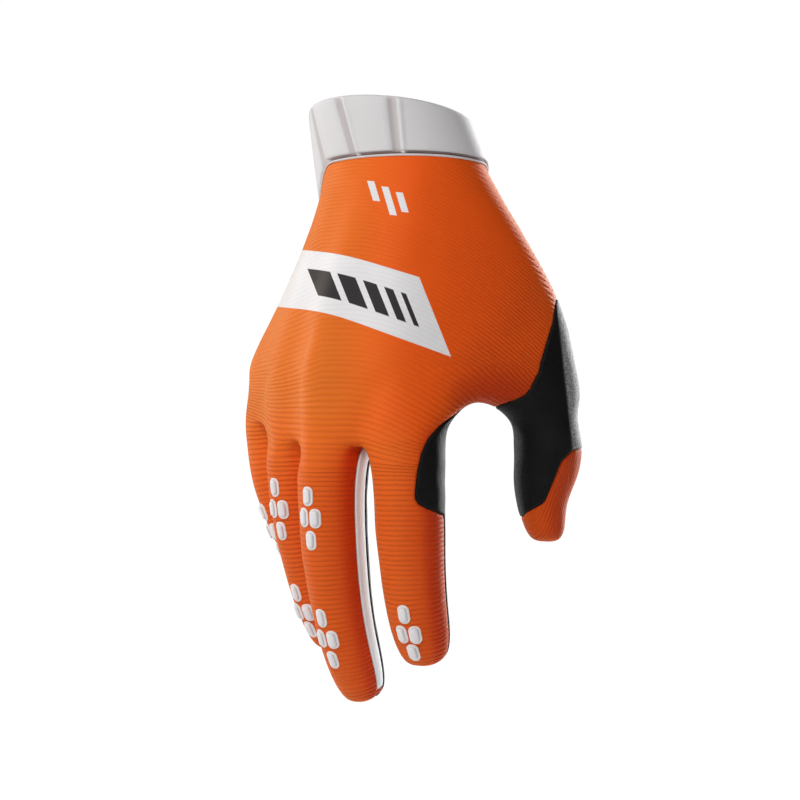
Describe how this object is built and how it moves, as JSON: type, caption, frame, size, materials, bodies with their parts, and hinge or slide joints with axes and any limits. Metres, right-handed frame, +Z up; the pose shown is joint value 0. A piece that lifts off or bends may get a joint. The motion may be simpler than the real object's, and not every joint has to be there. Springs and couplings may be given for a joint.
{
  "type": "motocross glove",
  "caption": "Right-hand motocross glove with a ribbed back, grooved cuff, leather palm and thumb, and rubber finger pads, shaped as a relaxed hand fills it.",
  "frame": {"origin": "in the wrist opening, 1.7 mm to the thumb side of its centre, in the plane of the cuff's rim", "axes": "+Z up out of the wrist opening with the fingers hanging down, +X to the thumb side, -Y out of the back of the hand"},
  "size_m": [0.1255, 0.0683, 0.2137],
  "materials": {
    "cuff": "matt neoprene",
    "cuff_piping": "matt cord",
    "back_panel": "matt ribbed knit",
    "palm_panel": "matt synthetic leather",
    "thumb_wrap": "matt synthetic leather",
    "thumb_tip": "matt ribbed knit",
    "fourchette": "matt stretch cloth",
    "pad": "satin moulded rubber"
  },
  "bodies": {
    "root": {"back_panel": "back_panel", "cuff": "cuff", "cuff_piping": "cuff_piping", "fourchette_little_ring": "fourchette", "fourchette_middle_index": "fourchette", "fourchette_ring_middle": "fourchette", "pad_index_foot": "pad", "pad_index_little_side": "pad", "pad_index_thumb_side": "pad", "pad_index_top": "pad", "pad_little_foot": "pad", "pad_little_little_side": "pad", "pad_little_thumb_side": "pad", "pad_little_top": "pad", "pad_middle_lower_foot": "pad", "pad_middle_lower_little_side": "pad", "pad_middle_lower_thumb_side": "pad", "pad_middle_lower_top": "pad", "pad_middle_upper_foot": "pad", "pad_middle_upper_little_side": "pad", "pad_middle_upper_thumb_side": "pad", "pad_middle_upper_top": "pad", "pad_ring_lower_foot": "pad", "pad_ring_lower_little_side": "pad", "pad_ring_lower_thumb_side": "pad", "pad_ring_lower_top": "pad", "pad_ring_upper_foot": "pad", "pad_ring_upper_little_side": "pad", "pad_ring_upper_thumb_side": "pad", "pad_ring_upper_top": "pad", "palm_panel": "palm_panel", "thumb_tip": "thumb_tip", "thumb_wrap": "thumb_wrap"}
  },
  "joints": []
}
